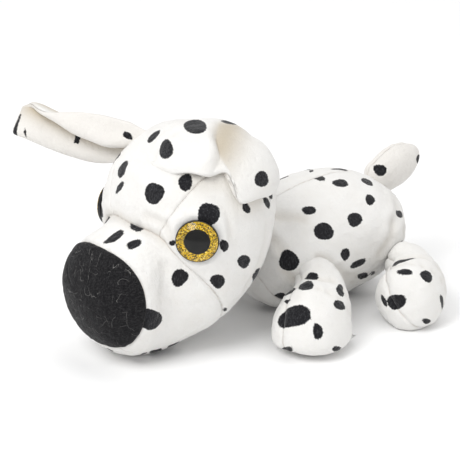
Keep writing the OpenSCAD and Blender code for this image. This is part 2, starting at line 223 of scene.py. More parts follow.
def pressed(points, pinned, cap):
    """The closed form after a cloth simulation with air pressure inside and its seams pinned.

    points is a grid whose first and last rows are single points and whose columns go round.
    """
    n, m, _ = points.shape
    rings = points[1:-1].reshape(-1, 3)
    verts = np.vstack([rings, points[0, :1], points[-1, :1]])
    low, high = len(rings), len(rings) + 1
    faces = [
        (i * m + j, i * m + (j + 1) % m, (i + 1) * m + (j + 1) % m, (i + 1) * m + j)
        for i in range(n - 3) for j in range(m)
    ]
    faces += [(low, (j + 1) % m, j) for j in range(m)]
    last = (n - 3) * m
    faces += [(high, last + j, last + (j + 1) % m) for j in range(m)]
    mesh = bpy.data.meshes.new("pressed")
    mesh.from_pydata(verts * MM, [], faces)
    obj = bpy.data.objects.new("pressed", mesh)
    bpy.context.scene.collection.objects.link(obj)
    bm = bmesh.new()
    bm.from_mesh(mesh)
    bmesh.ops.recalc_face_normals(bm, faces=bm.faces)
    bm.to_mesh(mesh)
    bm.free()
    held = obj.vertex_groups.new(name="seams")
    for i, j in np.argwhere(pinned[1:-1]):
        held.add([int(i * m + j)], 1, "REPLACE")
    held.add([low, high], 1, "REPLACE")
    cloth = obj.modifiers.new("cloth", "CLOTH")
    cloth.settings.quality = 6
    cloth.settings.use_pressure = True
    cloth.settings.uniform_pressure_force = AIR_PRESSURE
    cloth.settings.tension_stiffness = 12
    cloth.settings.bending_stiffness = 0.6
    cloth.settings.vertex_group_mass = "seams"
    cloth.settings.effector_weights.gravity = 0
    cloth.point_cache.frame_start = 1
    cloth.point_cache.frame_end = LAST_FRAME
    for step in range(1, LAST_FRAME + 1):
        bpy.context.scene.frame_set(step)
    made = obj.evaluated_get(bpy.context.evaluated_depsgraph_get()).to_mesh()
    moved = np.zeros(len(verts) * 3)
    made.vertices.foreach_get("co", moved)
    moved = moved.reshape(-1, 3) / MM - verts
    bpy.data.objects.remove(obj)
    bpy.context.scene.frame_set(1)
    far = np.linalg.norm(moved, axis=1, keepdims=True)
    moved *= cap * np.tanh(far / cap) / np.maximum(far, 1e-9)
    out = points.copy()
    out[1:-1] += moved[:low].reshape(n - 2, m, 3)
    return out


def refined(grid, times):
    """The grid with more rows and columns, on smooth curves through its points."""
    def along(g, wrap):
        if wrap:
            full = np.concatenate([g[-1:], g, g[:2]])
            u = np.arange(0, len(g), 1 / times) + 1e-9
        else:
            full = np.concatenate([2 * g[:1] - g[1:2], g, 2 * g[-1:] - g[-2:-1]])
            u = np.linspace(0, len(g) - 1, (len(g) - 1) * times + 1)
        i = np.minimum(u.astype(int), len(full) - 4)
        t = (u - i).reshape(-1, *[1] * (g.ndim - 1))
        a, b, c, d = full[i], full[i + 1], full[i + 2], full[i + 3]
        return 0.5 * (2 * b + (c - a) * t + (2 * a - 5 * b + 4 * c - d) * t**2
                      + (3 * b - a - 3 * c + d) * t**3)

    g = along(grid, False)
    return np.swapaxes(along(np.swapaxes(g, 0, 1), True), 0, 1)


def normals_of(p, closed=True):
    """Outward normals of a grid."""
    du = np.gradient(p, axis=0)
    if closed:
        dv = np.roll(p, -1, 1) - np.roll(p, 1, 1)
        middle = p.mean(1, keepdims=True)
    else:
        dv = np.gradient(p, axis=1)
        middle = None
    n = unit(np.cross(du, dv))
    if closed:
        n *= np.sign(np.sum((p - middle) * n))
        n[0], n[-1] = unit(n[1].mean(0)), unit(n[-2].mean(0))
    return n


def distance_to(points, line):
    """The distance in mm from every point to the nearest point of a line of points."""
    tree = KDTree(len(line))
    for k, q in enumerate(line):
        tree.insert(q, k)
    tree.balance()
    flat = points.reshape(-1, 3)
    return np.array([tree.find(q)[2] for q in flat]).reshape(points.shape[:-1])


class Stuffed:
    """A stuffed form: a fine grid with its seams, folds and unevenness, cut into panels.

    A seam row is (first turn, last turn, row), a seam turn is (turn, last row), and a fold
    is (its line of (u, turn), depth, width, painted shade): a dent whose colour is darkened
    towards tan as painted shade. cap limits what the simulation moves, in mm.
    """

    def __init__(self, form, rows, turns, seam_rows=(), seam_turns=(), times=3, cap=2.0,
                 seed=1, folds=(), lump=0.45, floor=0.1, shape=None):
        u = np.array([rows(t) for t in turns]).T
        t = np.broadcast_to(turns, u.shape)
        base = form(u, t)
        base[0], base[-1] = base[0].mean(0), base[-1].mean(0)
        pinned = np.zeros(u.shape, bool)
        for first, last, where in seam_rows:
            pinned[where, (turns >= first) & (turns <= last)] = True
        for turn, end in seam_turns:
            pinned[:end + 1, int(np.argmin(np.abs(turns - turn)))] = True
        base = pressed(base, pinned, cap)
        self.times, self.turns = times, turns
        self.points = refined(base, times)
        self.u = refined(u[..., None], times)[..., 0]
        n, m, _ = self.points.shape
        self.column = np.arange(m) / times
        normal = normals_of(self.points)
        seam = [self.points[:end * times + 1, self.index(turn)] for turn, end in seam_turns]
        for first, last, where in seam_rows:
            a, b = self.index(first), self.index(last)
            seam.append(self.points[where * times, a:b + 1 if b > a else m])
        self.seam = distance_to(self.points, np.concatenate(seam))
        depth = lump * waves(self.points, LUMP_WAVE, seed)
        depth = depth + 0.15 * waves(self.points, DENT_WAVE, seed + 1)
        ridges = 1 - np.abs(waves(self.points, RIDGE_WAVE, seed + 3))
        depth -= 0.5 * lump * np.clip(ridges - 0.72, 0, 1) / 0.28
        depth = depth * np.clip(self.seam / 3, 0.2, 1)
        pucker = 0.5 + 0.5 * waves(self.points, PUCKER_WAVE, seed + 2)
        depth -= (0.55 + 0.35 * pucker) * np.exp(-((self.seam / SEAM_WIDE) ** 2))
        depth -= 0.35 * pucker * np.exp(-self.seam / PUCKER_REACH)
        # Painted shade: how far folds, creases and hollows are darkened towards tan
        self.shade = np.zeros((n, m))
        if shape:
            more, painted_shade = shape(self.u, np.interp(self.column, np.arange(len(turns)), turns),
                              self.points)
            depth += more
            self.shade = painted_shade
        for line, deep, wide, painted_shade in folds:
            places = curve(np.array(line, float), line[0], line[-1],
                           np.linspace(0, len(line) - 1, 12 * len(line)))
            near = distance_to(self.points, form(places[:, 0], places[:, 1]))
            depth += -deep * np.exp(-((near / wide) ** 2)) \
                + 0.4 * deep * np.exp(-(((near - 2 * wide) / wide) ** 2))
            self.shade = np.maximum(self.shade, painted_shade * np.exp(-((near / (1.4 * wide)) ** 2)))
        self.points = self.points + normal * depth[..., None]
        self.points[..., 2] = np.maximum(self.points[..., 2], floor)
        self.normals = normals_of(self.points)

    def index(self, turn):
        """The fine column of a turn."""
        return int(np.argmin(np.abs(self.turns - turn))) * self.times

    def cut(self, row0, row1, turn0, turn1):
        """Rows and columns of a panel between two coarse rows and two turns."""
        a, b = self.index(turn0), self.index(turn1)
        m = self.points.shape[1]
        cols = np.arange(a, b + 1) if b > a else np.arange(a, b + m + 1) % m
        return np.arange(row0 * self.times, row1 * self.times + 1), cols

    def place(self, u, turn):
        """The grid cell nearest a place on the form."""
        c = int(np.interp(turn, self.turns, np.arange(len(self.turns))) * self.times)
        c %= self.points.shape[1]
        return int(np.argmin(np.abs(self.u[:, c] - u))), c


# ---------------------------------------------------------------- meshes
def mesh_object(name, points, faces, attributes, material):
    mesh = bpy.data.meshes.new(name)
    mesh.from_pydata(points * MM, [], faces)
    for key, values in attributes.items():
        layer = mesh.attributes.new(key, "FLOAT", "POINT")
        layer.data.foreach_set("value", np.asarray(values, np.float32))
    bm = bmesh.new()
    bm.from_mesh(mesh)
    bmesh.ops.remove_doubles(bm, verts=bm.verts, dist=1e-6)
    bmesh.ops.recalc_face_normals(bm, faces=bm.faces)
    bm.to_mesh(mesh)
    bm.free()
    mesh.shade_smooth()
    obj = bpy.data.objects.new(name, mesh)
    obj.data.materials.append(material)
    bpy.context.scene.collection.objects.link(obj)
    return obj


def shell(name, top, under, attributes, material):
    """A sheet of fabric between two grids of points, closed along its border."""
    n, m, _ = top.shape
    k = n * m
    i, j = np.meshgrid(np.arange(n - 1), np.arange(m - 1), indexing="ij")
    a = (i * m + j).ravel()
    quads = np.column_stack([a, a + 1, a + m + 1, a + m])
    edge = np.concatenate([
        np.arange(m), np.arange(1, n) * m + m - 1, (n - 1) * m + np.arange(m - 2, -1, -1),
        np.arange(n - 2, 0, -1) * m,
    ])
    nxt = np.roll(edge, -1)
    rim = np.column_stack([nxt, edge, edge + k, nxt + k])
    faces = np.vstack([quads, quads[:, ::-1] + k, rim]).tolist()
    both = {key: np.concatenate([v.ravel(), v.ravel()]) for key, v in attributes.items()}
    points = np.vstack([top.reshape(-1, 3), under.reshape(-1, 3)])
    return mesh_object(name, points, faces, both, material)


def spot_distance(points, spots, anchor):
    """How far every point lies from the edge of the nearest printed spot, in mm.

    A spot is (u, turn, length, width, tilt): tilt turns its long side from round the form
    towards along it.
    """
    total = np.full(points.shape[:-1], 9.0)
    for k, (u, turn, long, short, tilt) in enumerate(spots):
        centre, normal, way = anchor(u, turn)
        way = unit(way - (way @ normal) * normal)
        across = np.cross(normal, way)
        a = way * cos_d(tilt) + across * sin_d(tilt)
        b = np.cross(normal, a)
        d = points - centre
        x, y, z = d @ a / (long / 2), d @ b / (short / 2), np.abs(d @ normal)
        angle = np.arctan2(y, x)
        r = (np.abs(x) ** 2.3 + np.abs(y) ** 2.3) ** (1 / 2.3)
        r *= 1 + 0.06 * np.sin(2 * angle + k) + 0.05 * np.sin(3 * angle + 2.3 * k)
        edge = (r - 1) * min(long, short) / 2
        total = np.minimum(total, np.where(z < 0.6 * max(long, short) + 3, edge, 9))
    return total


def grid_anchor(form):
    """Where a spot's (u, turn) lies on a stuffed form: point, normal and the way round."""
    def at(u, turn):
        i, j = form.place(u, turn)
        m = form.points.shape[1]
        way = form.points[i, (j + 3) % m] - form.points[i, (j - 3) % m]
        return form.points[i, j], form.normals[i, j], way
    return at


def panel(name, form, cut, body, material, spots=(), node=None):
    """A fabric panel cut from a stuffed form, in place of its CAD node."""
    rows, cols = cut
    top = form.points[np.ix_(rows, cols)]
    normal = form.normals[np.ix_(rows, cols)]
    under = top - normal * FABRIC
    under[..., 2] = np.maximum(under[..., 2], 0.25)
    attributes = {
        "spot": spot_distance(top, spots, grid_anchor(form)),
        "seam": form.seam[np.ix_(rows, cols)],
        "shade": form.shade[np.ix_(rows, cols)],
    }
    obj = shell(name, top, under, attributes, material)
    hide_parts(node or name)
    if body:
        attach(obj, body)
    return obj


def filling(name, form, body, material, seed, start=0.05, end=0.95):
    """The lump of fibre inside a stuffed form, in place of its CAD node."""
    n = len(form.points)
    rows = np.arange(int(n * start), int(n * end) + 1, 3)
    cols = np.append(np.arange(0, form.points.shape[1], 3), 0)
    inside = form.points[np.ix_(rows, cols)] - form.normals[np.ix_(rows, cols)] * (
        FILLING_DEPTH + 0.5 + 0.5 * waves(form.points[np.ix_(rows, cols)], 9, seed)[..., None]
    )
    inside[..., 2] = np.maximum(inside[..., 2], FILLING_DEPTH)
    closed = np.concatenate([
        np.broadcast_to(inside[:1].mean(1, keepdims=True), inside[:1].shape), inside,
        np.broadcast_to(inside[-1:].mean(1, keepdims=True), inside[-1:].shape),
    ])
    n, m, _ = closed.shape
    i, j = np.meshgrid(np.arange(n - 1), np.arange(m - 1), indexing="ij")
    a = (i * m + j).ravel()
    faces = np.column_stack([a, a + 1, a + m + 1, a + m]).tolist()
    obj = mesh_object(name, closed.reshape(-1, 3), faces, {}, material)
    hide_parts(name[: -len("_fill")])
    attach(obj, body)
    return obj


# ---------------------------------------------------------------- materials
class Nodes:
    """A small helper that adds and joins shader nodes."""

    def __init__(self, name):
        self.material = bpy.data.materials.new(name)
        self.material.use_nodes = True
        self.tree = self.material.node_tree
        self.shader = self.tree.nodes["Principled BSDF"]
        self.output = self.tree.nodes["Material Output"]

    def add(self, kind, inputs=None, **settings):
        node = self.tree.nodes.new(kind)
        for key, value in settings.items():
            setattr(node, key, value)
        for key, value in (inputs or {}).items():
            self.put(node, key, value)
        return node

    def put(self, node, key, value):
        if isinstance(value, bpy.types.Node):
            value = value.outputs[0]
        if isinstance(value, bpy.types.NodeSocket):
            self.tree.links.new(value, node.inputs[key])
        else:
            node.inputs[key].default_value = value

    def set(self, **values):
        for key, value in values.items():
            self.put(self.shader, key.replace("_", " "), value)

    def where(self):
        return self.add("ShaderNodeTexCoord").outputs["Object"]

    def noise(self, scale, detail=3.0, stretch=None, roughness=0.6):
        place = self.where()
        if stretch:
            place = self.add("ShaderNodeMapping", {"Vector": place, "Scale": stretch})
        return self.add("ShaderNodeTexNoise", {
            "Vector": place, "Scale": scale, "Detail": detail, "Roughness": roughness,
        }).outputs["Fac"]

    def ramp(self, value, low, high, a=0.0, b=1.0):
        return self.add("ShaderNodeMapRange", {
            "Value": value, "From Min": low, "From Max": high, "To Min": a, "To Max": b,
        }).outputs["Result"]

    def math(self, operation, a, b=0.0):
        node = self.add("ShaderNodeMath", operation=operation)
        self.put(node, 0, a)
        self.put(node, 1, b)
        return node.outputs[0]

    def mix(self, share, a, b):
        node = self.add("ShaderNodeMix", data_type="RGBA")
        self.put(node, 0, share)
        self.put(node, 6, a)
        self.put(node, 7, b)
        return node.outputs[2]

    def value(self, name):
        return self.add("ShaderNodeAttribute", attribute_name=name).outputs["Fac"]

    def bump(self, height, strength, distance):
        return self.add("ShaderNodeBump", {
            "Height": height, "Strength": strength, "Distance": distance,
        }).outputs["Normal"]


WHITE = (0.83, 0.82, 0.80, 1)
WARM = (0.77, 0.745, 0.70, 1)
# Painted shade: the colour that folds, creases and hollows are darkened towards
PAINTED_SHADE_TAN = (0.50, 0.43, 0.32, 1)
INK = (0.010, 0.010, 0.012, 1)
INK_FIBRE = (0.060, 0.060, 0.066, 1)
SEAM_TINT = (0.62, 0.54, 0.47, 1)


def plush(name, cloth=WHITE, sheen=0.25):
    """White short-pile plush with printed black spots and painted shade, from spot, seam and shade
    values.
    """
    n = Nodes(name)
    patches = n.ramp(n.noise(90, 2), 0.35, 0.75)
    cloth_colour = n.mix(n.math("MULTIPLY", patches, 0.35), cloth, WARM)
    # painted shade: darkens folds, creases and hollows towards tan by the shade value
    shaded = n.mix(n.math("MULTIPLY", n.value("shade"), 0.9), cloth_colour, PAINTED_SHADE_TAN)
    line = n.ramp(n.value("seam"), 0.1, 0.55, 0.45, 0.0)
    breaks = n.ramp(n.noise(260, 2), 0.42, 0.62)
    seamed = n.mix(n.math("MULTIPLY", line, breaks), shaded, SEAM_TINT)
    fibres = n.noise(1500, 4, (1, 1, 0.35), 0.75)
    wander = n.ramp(n.noise(1100, 2), 0.2, 0.8, -0.32, 0.32)
    edge = n.math("ADD", n.value("spot"), wander)
    inked = n.ramp(edge, -0.12, 0.22, 1.0, 0.0)
    ink = n.mix(n.ramp(fibres, 0.50, 0.72), INK, INK_FIBRE)
    n.set(Base_Color=n.mix(inked, seamed, ink), Roughness=0.92, Sheen_Weight=sheen,
          Sheen_Roughness=0.4, Specular_IOR_Level=0.2)
    nap = n.math("ADD", n.math("MULTIPLY", n.noise(2300, 3), 0.45),
                 n.math("MULTIPLY", n.noise(620, 4, (1, 1, 0.5)), 0.7))
    rumpled = n.math("MULTIPLY", n.noise(120, 3, (1, 0.6, 1)), 1.6)
    n.set(Normal=n.bump(n.math("ADD", nap, rumpled), 0.6, 0.0013))
    return n.material


def black_felt(name):
    """Black short-pile felt with a few pale hairs of lint."""
    n = Nodes(name)
    fibres = n.noise(1300, 5, (1, 0.5, 1), 0.8)
    base = n.mix(n.ramp(fibres, 0.44, 0.74), (0.006, 0.006, 0.007, 1), (0.045, 0.043, 0.045, 1))
    lint = 0.0
    for stretch, level in (((1, 1, 1), 0.52), ((1.7, 0.8, 0.7), 0.47), ((0.7, 0.9, 1.8), 0.55)):
        hair = n.math("ABSOLUTE", n.math("SUBTRACT", n.noise(130, 1, stretch, 0.4), level))
        thin = n.ramp(hair, 0.0, 0.005, 1.0, 0.0)
        here = n.ramp(n.noise(170, 1, stretch), 0.55, 0.60)
        lint = n.math("MAXIMUM", lint, n.math("MULTIPLY", n.math("MULTIPLY", thin, here), 0.6))
    n.set(Base_Color=n.mix(lint, base, (0.35, 0.34, 0.33, 1)), Roughness=0.95,
          Sheen_Weight=0.12, Sheen_Roughness=0.35, Specular_IOR_Level=0.15)
    nap = n.math("ADD", n.math("MULTIPLY", fibres, 0.8), n.noise(260, 3))
    n.set(Normal=n.bump(nap, 0.5, 0.0009))
    return n.material


def fibre_fill(name):
    n = Nodes(name)
    tufts = n.noise(300, 6, (1, 1, 0.3), 0.8)
    n.set(Base_Color=n.mix(tufts, (0.80, 0.80, 0.78, 1), (0.95, 0.95, 0.94, 1)), Roughness=1.0)
    n.set(Normal=n.bump(tufts, 0.8, 0.002))
    return n.material


def thread(name):
    n = Nodes(name)
    twist = n.add("ShaderNodeTexWave", {
        "Vector": n.where(), "Scale": 700.0, "Distortion": 1.5, "Detail": 2.0,
    }).outputs["Fac"]
    n.set(Base_Color=n.mix(twist, (0.70, 0.68, 0.64, 1), (0.93, 0.92, 0.90, 1)), Roughness=0.8)
    n.set(Normal=n.bump(twist, 0.6, 0.0005))
    return n.material


def moulded(name, colour, roughness, specular=0.5):
    """Moulded plastic with faint unevenness."""
    n = Nodes(name)
    grain = n.noise(900, 3)
    lighter = tuple(min(1.0, c * 1.6 + 0.004) for c in colour[:3]) + (1,)
    n.set(Base_Color=n.mix(n.ramp(grain, 0.3, 0.8), colour, lighter),
          Specular_IOR_Level=specular)
    n.set(Roughness=n.ramp(grain, 0.2, 0.8, roughness, roughness + 0.08))
    n.set(Normal=n.bump(grain, 0.05, 0.0003))
    return n.material


def glitter(name, centre):
    """Gold glitter print with dark flecks, deeper towards its outer edge."""
    n = Nodes(name)
    place = n.where()
    flakes = n.add("ShaderNodeTexVoronoi", {"Vector": place, "Scale": 2100.0})
    spread = n.add("ShaderNodeSeparateColor", {"Color": flakes.outputs["Color"]})
    away = n.add("ShaderNodeVectorMath", {0: place, 1: tuple(centre)}, operation="DISTANCE")
    outer = n.ramp(away.outputs["Value"], 0.0074, 0.0096)
    gold = n.mix(spread.outputs[0], (0.36, 0.20, 0.002, 1), (0.92, 0.62, 0.015, 1))
    gold = n.mix(n.ramp(spread.outputs[2], 0.88, 0.92), gold, (1.0, 0.80, 0.20, 1))
    flecks = n.ramp(spread.outputs[1], 0.34, 0.38, 1.0, 0.0)
    deeper = n.mix(n.math("MULTIPLY", outer, 0.35), gold, (0.30, 0.16, 0.01, 1))
    n.set(Base_Color=n.mix(n.math("MULTIPLY", flecks, 0.92), deeper, (0.05, 0.03, 0.005, 1)),
          Specular_IOR_Level=0.15)
    n.set(Roughness=n.ramp(spread.outputs[2], 0.0, 1.0, 0.35, 0.6))
    n.set(Normal=n.bump(spread.outputs[0], 0.15, 0.0002))
    return n.material


def clear_lens(name):
    """Clear acrylic: what is under it shows, and its surface reflects the room."""
    n = Nodes(name)
    n.tree.nodes.remove(n.shader)
    inside = n.add("ShaderNodeNewGeometry").outputs["Backfacing"]
    outside = n.ramp(inside, 0.0, 1.0, 0.7, 0.0)
    fresnel = n.math("MULTIPLY", n.add("ShaderNodeFresnel", {"IOR": 1.49}), outside)
    through = n.add("ShaderNodeBsdfTransparent", {"Color": (0.98, 0.98, 0.98, 1)})
    scratches = n.ramp(n.noise(700, 3), 0.3, 0.8, 0.015, 0.05)
    gloss = n.add("ShaderNodeBsdfGlossy", {"Color": (1, 1, 1, 1), "Roughness": scratches})
    mixed = n.add("ShaderNodeMixShader")
    n.put(mixed, 0, fresnel)
    n.put(mixed, 1, through)
    n.put(mixed, 2, gloss)
    n.tree.links.new(mixed.outputs[0], n.output.inputs["Surface"])
    return n.material


PLUSH = plush("plush")
# A darker copy of the plush: painted shade, for the tail and the ears' inner layers
PAINTED_SHADE_PLUSH = plush("shaded_plush", cloth=(0.79, 0.765, 0.73, 1))
FELT = black_felt("nose_felt")
FIBRE = fibre_fill("fibre")

# ---------------------------------------------------------------- head
HEAD_ROWS = (1, 17, 9, 8)
SEAM_ROW = HEAD_ROWS[0] + HEAD_ROWS[1]
NOSE_ROW = SEAM_ROW + HEAD_ROWS[2]


def head_rows(turn):
    return steps(0.0, (0.3, HEAD_ROWS[0]), (muzzle_seam(turn), HEAD_ROWS[1]),
                 (nose_edge(turn), HEAD_ROWS[2]), (12.0, HEAD_ROWS[3]))


# The crease over the muzzle: width in rows, where it ends round the head, depth, and how strongly
# painted shade darkens it
CREASE_WIDE, CREASE_END, CREASE_DEEP, CREASE_PAINTED_SHADE = 0.22, 75, 1.5, 0.22
# The ring of fabric that swells round an eye, and the dip that the eye sits in, in mm
SWELL_HIGH, SWELL_R, SWELL_WIDE = 1.3, 12.6, 2.6
SOCKET_DEEP, SOCKET_R = 0.5, 8


def head_shape(u, turn, points):
    """The crease over the muzzle with painted shade in it, and the fabric that swells round each
    eye.
    """
    crease = np.exp(-(((u - muzzle_seam(turn)) / CREASE_WIDE) ** 2))
    crease = crease * np.clip((CREASE_END - np.abs(turn)) / 30, 0, 1)
    depth = -CREASE_DEEP * crease
    for eye_u, eye_turn in EYES:
        away = np.linalg.norm(points - head_at(eye_u, np.array(eye_turn)), axis=-1)
        depth = depth + SWELL_HIGH * np.exp(-(((away - SWELL_R) / SWELL_WIDE) ** 2))
        depth = depth - SOCKET_DEEP * np.exp(-((away / SOCKET_R) ** 4))
    return depth, CREASE_PAINTED_SHADE * crease


head_turns = steps(-180, (-CHIN_TURN, 6), (-GUSSET_TURN, 17), (GUSSET_TURN, 12),
                   (CHIN_TURN, 17), (180, 6))[:-1]
# Folds of the head: real dents, with painted shade in them (the last value)
HEAD_FOLDS = [
    ([(6.5, 20), (6.1, 40), (6.15, 52)], 0.9, 1.9, 0.15),
    ([(4.3, 52), (4.15, 64), (4.3, 76)], 0.6, 1.6, 0.1),
    ([(6.9, 60), (7.3, 78), (7.4, 96)], 0.5, 2.2, 0.05),
    ([(2.8, 96), (3.2, 112), (3.9, 124)], 0.6, 2.0, 0.1),
]
# Along the draped ear's free edge: no dent, only a painted shadow on the head below it
EAR_EDGE_PAINTED_SHADOW = [(4.4, 33), (4.1, 42), (3.6, 50), (3.5, 66), (2.9, 71)]
head = Stuffed(
    head_at, head_rows, head_turns,
    seam_rows=[(-CHIN_TURN, CHIN_TURN, SEAM_ROW), (-180, 180, NOSE_ROW)],
    seam_turns=[(-CHIN_TURN, NOSE_ROW), (-GUSSET_TURN, SEAM_ROW), (GUSSET_TURN, SEAM_ROW),
                (CHIN_TURN, NOSE_ROW)],
    times=4, cap=1.6, seed=3, shape=head_shape,
    folds=[(EAR_EDGE_PAINTED_SHADOW, 0.0, 5.0, 0.3)] + HEAD_FOLDS,
)

# Printed spots: place along and round the form, length, width, tilt
HEAD_SPOTS = {
    "forehead_gusset": [
        (3.9, -14, 9, 5, 120), (3.5, -5, 3, 2, 130), (5.2, -22, 9, 6.5, 60),
        (5.8, -20, 8, 3.5, 45), (5.6, 18, 10.5, 10, 0), (4.2, 34, 3, 1.5, 60),
        (4.7, 33, 8, 6.5, 137),
    ],
    "head_left_panel": [
        (4.7, 33, 8, 6.5, 137), (4.7, 57, 11, 9.5, 120),
        (3.5, 70, 6, 3.5, 0), (2.5, 81, 8, 3.5, 7), (2.2, 80, 5, 3, 0), (4.6, 78, 6, 4.5, 170),
        (4.0, 100, 9, 6, 20), (3.4, 128, 11, 6, 5), (5.5, 124, 6, 4.5, 155),
        (5.7, 133, 4, 2, 20), (4.7, 129, 5, 2, 13), (5.0, 97, 8, 6.5, 0), (6.2, 53, 3, 2.5, 65),
        (1.6, 110, 8, 6, 30),
    ],
    "muzzle_panel": [
        (7.1, 9, 9, 4, 170), (8.1, 2, 11, 5, 86), (7.8, 24, 7.5, 4.5, 65), (6.3, 78, 9, 7, 110),
        (8.1, 98, 14, 10, 53),
    ],
    "chin_panel": [(6.8, 156, 14, 6, 54), (9.0, 172, 8, 3, 30)],
}


def scatter(form, count, turn0, turn1, u0, u1, seed, apart=15.5):
    """Spots spread over the sides that the listed ones don't cover."""
    rng = np.random.default_rng(seed)
    found, places = [], []
    for _ in range(60 * count):
        u, turn = rng.uniform(u0, u1), rng.uniform(turn0, turn1)
        here = form.points[form.place(u, (turn + 180) % 360 - 180 if form.turns[0] < 0 else turn)]
        if len(found) < count and all(np.linalg.norm(here - q) > apart for q in places):
            places.append(here)
            long = rng.uniform(6, 10.5)
            found.append((u, turn, long, long * rng.uniform(0.62, 0.95), rng.uniform(0, 180)))
    return found


def wrapped(spots):
    return [(u, (turn + 180) % 360 - 180, *rest) for u, turn, *rest in spots]


HEAD_SPOTS["head_right_panel"] = scatter(head, 20, -140, -44, 0.6, 6.2, 51)
HEAD_SPOTS["muzzle_panel"] += scatter(head, 6, -140, -25, 6.4, 8.0, 52)
HEAD_SPOTS["chin_panel"] += wrapped(scatter(head, 10, 150, 210, 0.8, 8.4, 53))


def head_panel(name, cut):
    return panel(name + "_plush", head, cut, "head", PLUSH,
                 HEAD_SPOTS[name], node=name)


head_panel("forehead_gusset", head.cut(0, SEAM_ROW, -GUSSET_TURN, GUSSET_TURN))
head_panel("head_left_panel", head.cut(0, SEAM_ROW, GUSSET_TURN, CHIN_TURN))
head_panel("head_right_panel", head.cut(0, SEAM_ROW, -CHIN_TURN, -GUSSET_TURN))
head_panel("muzzle_panel", head.cut(SEAM_ROW, NOSE_ROW, -CHIN_TURN, CHIN_TURN))
head_panel("chin_panel", head.cut(0, NOSE_ROW, CHIN_TURN, -CHIN_TURN))
nose_cut = (np.arange(NOSE_ROW * head.times, sum(HEAD_ROWS) * head.times + 1),
            np.append(np.arange(head.points.shape[1]), 0))
panel("nose_cover_felt", head, nose_cut, "head", FELT, node="nose_cover")
filling("head_stuffing_fill", head, "head", FIBRE, 21)

# ---------------------------------------------------------------- body
body_turns = steps(-180, (-BELLY_TURN, 6), (0, 20), (BELLY_TURN, 20), (180, 6))[:-1]
BODY_STEPS = 26
# Folds of the body: real dents, with painted shade in them (the last value)
BODY_FOLDS = [
    ([(8.4, 12), (7.7, 25), (7.0, 37)], 1.2, 2.4, 0.25),
    ([(3.2, 66), (3.5, 80), (4.0, 95)], 1.0, 2.0, 0.25),
    ([(2.0, 40), (2.6, 58), (3.4, 70)], 0.7, 2.5, 0.1),
    ([(6.0, 95), (5.2, 110), (4.4, 118)], 0.9, 1.8, 0.25),
    ([(5.6, 108), (4.8, 124)], 0.8, 1.5, 0.2),
    ([(8.6, 92), (7.9, 100), (7.2, 98)], 0.9, 1.8, 0.25),
    ([(6.9, 78), (6.4, 86), (6.1, 97)], 0.8, 1.7, 0.2),
    ([(2.4, 78), (2.2, 92), (2.4, 108)], 0.9, 1.8, 0.25),
    ([(9.2, 30), (8.8, 48), (8.6, 66)], 0.9, 2.2, 0.2),
    ([(8.4, -12), (7.6, -30), (7.2, -60)], 1.2, 2.4, 0.25),
    ([(3.2, -60), (3.6, -82), (4.1, -100)], 1.0, 2.0, 0.25),
]
body = Stuffed(
    body_at, lambda turn: np.linspace(0, 10, BODY_STEPS + 1), body_turns,
    seam_turns=[(-BELLY_TURN, BODY_STEPS), (0, BODY_STEPS), (BELLY_TURN, BODY_STEPS)],
    times=3, cap=2.2, seed=11, folds=BODY_FOLDS, floor=0.0,
)
BODY_SPOTS = {
    "body_left_panel": [
        (5.0, 3, 9, 5, 170), (4.6, 19, 8, 6, 80), (3.3, 23, 7, 6, 120), (4.0, 42, 6.5, 5, 115),
        (6.5, 33, 6.5, 5, 60), (5.0, 58, 8, 7, 97), (6.4, 58, 10, 8.5, 90), (8.3, 77, 10, 9, 46),
        (5.6, 84, 7, 5, 30), (5.0, 100, 10, 4, 90), (4.5, 118, 8, 4.5, 50), (4.0, 119, 5, 2.5, 40),
        (8.2, 134, 8, 4.5, 8), (2.4, 62, 7, 4, 90), (1.6, 30, 8, 6, 40), (2.7, 100, 8, 6, 20),
    ],
}
BODY_SPOTS["body_right_panel"] = [(3.7, -3, 9, 3.5, 77), (4.6, -16, 5, 2, 144)] + scatter(
    body, 16, -135, -22, 1.0, 8.0, 61)
BODY_SPOTS["belly_panel"] = wrapped(scatter(body, 8, 145, 215, 2.0, 8.0, 62))
for name, turn0, turn1 in (("body_left_panel", 0, BELLY_TURN),
                           ("body_right_panel", -BELLY_TURN, 0),
                           ("belly_panel", BELLY_TURN, -BELLY_TURN)):
    piece = panel(name + "_plush", body, body.cut(0, BODY_STEPS, turn0, turn1), None,
                  PLUSH, BODY_SPOTS[name], node=name)
    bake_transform(piece)
filling("body_stuffing_fill", body, "torso", FIBRE, 22, 0.06, 0.9)

# ---------------------------------------------------------------- legs and tail
LIMB_FRONT = np.array([0, -1, 0.4])
LIMB_ROUND = steps(0, (180, 14), (360, 14))[:-1]
LEG_STEPS = 20
FRONT_SPOTS = [
    (4.5, 29, 9, 7, 120), (4.6, 352, 10, 6, 138), (5.4, 4, 5, 2.5, 150), (5.9, 21, 17, 10, 10),
    (6.1, 57, 7, 5, 96), (3.9, 93, 8.5, 5, 80), (4.9, 92, 8, 5, 45), (6.9, 8, 9, 3.5, 32),
    (6.8, 94, 7, 3, 155), (3.1, 34, 6.5, 5, 150),
]
HIND_SPOTS = [
    (3.9, 30, 11, 6, 15), (5.6, 42, 8, 3.5, 0), (5.3, 80, 7, 6, 71), (7.5, 20, 10, 7, 170),
    (7.0, 330, 6, 3, 60), (5.5, 137, 8, 3.5, 10), (6.5, 158, 6, 3, 65),
]


# Folds of the legs: real dents, with painted shade in them (the last value)
LEG_FOLDS = [
    ([(3.0, 20), (3.4, 48), (3.3, 76)], 0.9, 1.7, 0.2),
    ([(3.6, 105), (4.2, 125), (4.6, 130)], 0.7, 1.7, 0.15),
    ([(4.0, 325), (4.5, 345), (4.6, 5)], 0.6, 1.5, 0.15),
]


